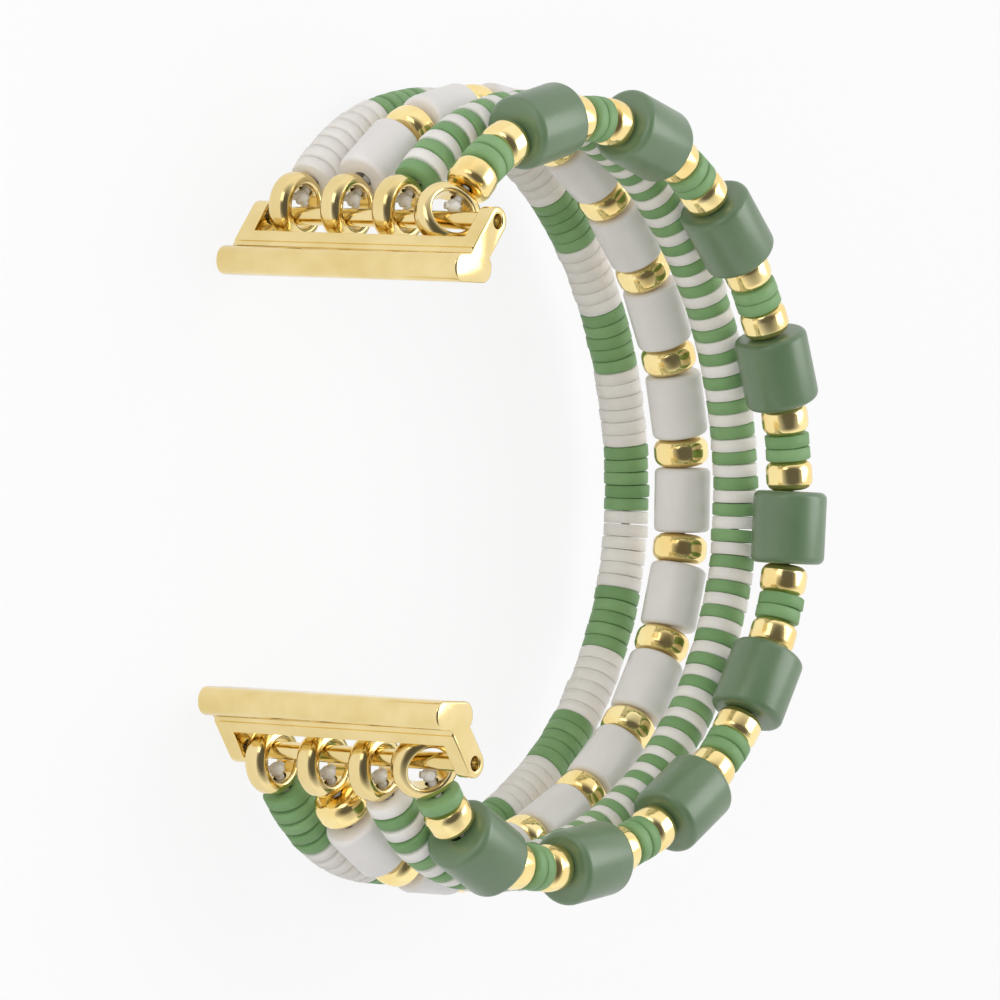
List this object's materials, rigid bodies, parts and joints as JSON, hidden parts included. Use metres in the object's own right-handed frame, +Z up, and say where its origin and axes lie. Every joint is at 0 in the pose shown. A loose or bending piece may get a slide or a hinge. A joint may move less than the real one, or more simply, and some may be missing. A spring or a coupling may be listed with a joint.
{
  "type": "bead watch band",
  "caption": "Elastic bead watch band: beaded strands hang from rings on spring bars between two slide-in adapters that lock into a watch case's end grooves.",
  "frame": {"origin": "centre of the band's footprint on the table that it lies on its side on", "axes": "+Z up along the spring bars, from strand 1 to strand 4; +Y towards the 12 o'clock adapter; +X towards the back of the wrist"},
  "size_m": [0.0561, 0.0687, 0.0257],
  "materials": {
    "gold_metal": "polished pale gold plate",
    "gold_bead": "polished warm gold plate",
    "spring_steel": "bright wire",
    "green_clay": "satin polymer clay, green",
    "white_clay": "satin polymer clay, off white",
    "sage_ceramic": "matt glaze, sage green",
    "white_ceramic": "satin glaze, off white",
    "elastic": "clear white stretch cord"
  },
  "bodies": {
    "adapter_12": {"adapter_12": "gold_metal", "latch_spring_12": "spring_steel"},
    "latch_12": {"latch_button_12": "gold_metal"},
    "spring_bar_12": {"spring_bar_tube_12": "gold_metal", "bar_spring_12": "spring_steel"},
    "tip_low_12": {"bar_tip_low_12": "spring_steel"},
    "tip_high_12": {"bar_tip_high_12": "spring_steel"},
    "adapter_6": {"adapter_6": "gold_metal", "latch_spring_6": "spring_steel"},
    "latch_6": {"latch_button_6": "gold_metal"},
    "spring_bar_6": {"spring_bar_tube_6": "gold_metal", "bar_spring_6": "spring_steel"},
    "tip_low_6": {"bar_tip_low_6": "spring_steel"},
    "tip_high_6": {"bar_tip_high_6": "spring_steel"},
    "strand_1_upper": {"end_ring_1_12": "gold_metal", "green_discs_1_upper": "green_clay", "white_discs_1_upper": "white_clay"},
    "strand_1_back": {"elastic_cord_1": "elastic", "green_discs_1_back": "green_clay", "white_discs_1_back": "white_clay"},
    "strand_1_lower": {"end_ring_1_6": "gold_metal", "green_discs_1_lower": "green_clay", "white_discs_1_lower": "white_clay"},
    "strand_2_upper": {"end_ring_2_12": "gold_metal", "rondelles_2_upper": "gold_bead", "white_tubes_2_upper": "white_ceramic"},
    "strand_2_back": {"elastic_cord_2": "elastic", "rondelles_2_back": "gold_bead", "white_tubes_2_back": "white_ceramic"},
    "strand_2_lower": {"end_ring_2_6": "gold_metal", "rondelles_2_lower": "gold_bead", "white_tubes_2_lower": "white_ceramic"},
    "strand_3_upper": {"end_ring_3_12": "gold_metal", "green_discs_3_upper": "green_clay", "white_discs_3_upper": "white_clay"},
    "strand_3_back": {"elastic_cord_3": "elastic", "green_discs_3_back": "green_clay", "white_discs_3_back": "white_clay"},
    "strand_3_lower": {"end_ring_3_6": "gold_metal", "green_discs_3_lower": "green_clay", "white_discs_3_lower": "white_clay"},
    "strand_4_upper": {"end_ring_4_12": "gold_metal", "green_discs_4_upper": "green_clay", "rondelles_4_upper": "gold_bead", "sage_tubes_4_upper": "sage_ceramic"},
    "strand_4_back": {"elastic_cord_4": "elastic", "green_discs_4_back": "green_clay", "rondelles_4_back": "gold_bead", "sage_tubes_4_back": "sage_ceramic"},
    "strand_4_lower": {"end_ring_4_6": "gold_metal", "green_discs_4_lower": "green_clay", "rondelles_4_lower": "gold_bead", "sage_tubes_4_lower": "sage_ceramic"}
  },
  "joints": [
    {"name": "spring_bar_12_spin", "type": "hinge", "parent": "adapter_12", "child": "spring_bar_12", "pos_m": [-0.02252, 0.02215, 0.0123], "axis": [0, 0, 1], "continuous": true},
    {"name": "bar_tip_low_12_press", "type": "slide", "parent": "spring_bar_12", "child": "tip_low_12", "axis": [0, 0, 1], "range_m": [0, 0.0012], "stiffness_N_per_m": 300, "deforming": ["bar_spring_12"]},
    {"name": "bar_tip_high_12_press", "type": "slide", "parent": "spring_bar_12", "child": "tip_high_12", "axis": [0, 0, -1], "range_m": [0, 0.0012], "stiffness_N_per_m": 300, "deforming": ["bar_spring_12"]},
    {"name": "latch_12_press", "type": "slide", "parent": "adapter_12", "child": "latch_12", "axis": [-1, 0, 0], "range_m": [0, 0.0006], "stiffness_N_per_m": 500, "deforming": ["latch_spring_12"]},
    {"name": "strand_4_swing", "type": "hinge", "parent": "adapter_12", "child": "strand_4_upper", "pos_m": [-0.02252, 0.02215, 0.0123], "axis": [0, 0, 1], "range_deg": [-50, 40]},
    {"name": "strand_4_flex_12", "type": "hinge", "parent": "strand_4_upper", "child": "strand_4_back", "pos_m": [0.01984, 0.02304, 0.0123], "axis": [0, 0, 1], "range_deg": [0, 60], "deforming": ["elastic_cord_4"]},
    {"name": "strand_4_flex_6", "type": "hinge", "parent": "strand_4_back", "child": "strand_4_lower", "pos_m": [0.01984, -0.02304, 0.0123], "axis": [0, 0, 1], "range_deg": [0, 60], "deforming": ["elastic_cord_4"]},
    {"name": "strand_1_swing", "type": "hinge", "parent": "adapter_12", "child": "strand_1_upper", "pos_m": [-0.02252, 0.02215, 0.0123], "axis": [0, 0, 1], "range_deg": [-50, 40]},
    {"name": "strand_1_flex_12", "type": "hinge", "parent": "strand_1_upper", "child": "strand_1_back", "pos_m": [0.01984, 0.02304, 0.0123], "axis": [0, 0, 1], "range_deg": [0, 60], "deforming": ["elastic_cord_1"]},
    {"name": "strand_1_flex_6", "type": "hinge", "parent": "strand_1_back", "child": "strand_1_lower", "pos_m": [0.01984, -0.02304, 0.0123], "axis": [0, 0, 1], "range_deg": [0, 60], "deforming": ["elastic_cord_1"]},
    {"name": "strand_2_swing", "type": "hinge", "parent": "adapter_12", "child": "strand_2_upper", "pos_m": [-0.02252, 0.02215, 0.0123], "axis": [0, 0, 1], "range_deg": [-50, 40]},
    {"name": "strand_2_flex_12", "type": "hinge", "parent": "strand_2_upper", "child": "strand_2_back", "pos_m": [0.01984, 0.02304, 0.0123], "axis": [0, 0, 1], "range_deg": [0, 60], "deforming": ["elastic_cord_2"]},
    {"name": "strand_2_flex_6", "type": "hinge", "parent": "strand_2_back", "child": "strand_2_lower", "pos_m": [0.01984, -0.02304, 0.0123], "axis": [0, 0, 1], "range_deg": [0, 60], "deforming": ["elastic_cord_2"]},
    {"name": "strand_3_swing", "type": "hinge", "parent": "adapter_12", "child": "strand_3_upper", "pos_m": [-0.02252, 0.02215, 0.0123], "axis": [0, 0, 1], "range_deg": [-50, 40]},
    {"name": "strand_3_flex_12", "type": "hinge", "parent": "strand_3_upper", "child": "strand_3_back", "pos_m": [0.01984, 0.02304, 0.0123], "axis": [0, 0, 1], "range_deg": [0, 60], "deforming": ["elastic_cord_3"]},
    {"name": "strand_3_flex_6", "type": "hinge", "parent": "strand_3_back", "child": "strand_3_lower", "pos_m": [0.01984, -0.02304, 0.0123], "axis": [0, 0, 1], "range_deg": [0, 60], "deforming": ["elastic_cord_3"]},
    {"name": "adapter_6_swing", "type": "hinge", "parent": "strand_4_lower", "child": "adapter_6", "pos_m": [-0.02252, -0.02215, 0.0123], "axis": [0, 0, 1], "range_deg": [-40, 50]},
    {"name": "spring_bar_6_spin", "type": "hinge", "parent": "adapter_6", "child": "spring_bar_6", "pos_m": [-0.02252, -0.02215, 0.0123], "axis": [0, 0, 1], "continuous": true},
    {"name": "bar_tip_low_6_press", "type": "slide", "parent": "spring_bar_6", "child": "tip_low_6", "axis": [0, 0, 1], "range_m": [0, 0.0012], "stiffness_N_per_m": 300, "deforming": ["bar_spring_6"]},
    {"name": "bar_tip_high_6_press", "type": "slide", "parent": "spring_bar_6", "child": "tip_high_6", "axis": [0, 0, -1], "range_m": [0, 0.0012], "stiffness_N_per_m": 300, "deforming": ["bar_spring_6"]},
    {"name": "latch_6_press", "type": "slide", "parent": "adapter_6", "child": "latch_6", "axis": [-1, 0, 0], "range_m": [0, 0.0006], "stiffness_N_per_m": 500, "deforming": ["latch_spring_6"]}
  ],
  "couplings": [
    {"joint": "strand_1_swing", "follows": "strand_4_swing", "ratio": 1},
    {"joint": "strand_1_flex_12", "follows": "strand_4_flex_12", "ratio": 1},
    {"joint": "strand_1_flex_6", "follows": "strand_4_flex_6", "ratio": 1},
    {"joint": "strand_2_swing", "follows": "strand_4_swing", "ratio": 1},
    {"joint": "strand_2_flex_12", "follows": "strand_4_flex_12", "ratio": 1},
    {"joint": "strand_2_flex_6", "follows": "strand_4_flex_6", "ratio": 1},
    {"joint": "strand_3_swing", "follows": "strand_4_swing", "ratio": 1},
    {"joint": "strand_3_flex_12", "follows": "strand_4_flex_12", "ratio": 1},
    {"joint": "strand_3_flex_6", "follows": "strand_4_flex_6", "ratio": 1}
  ]
}
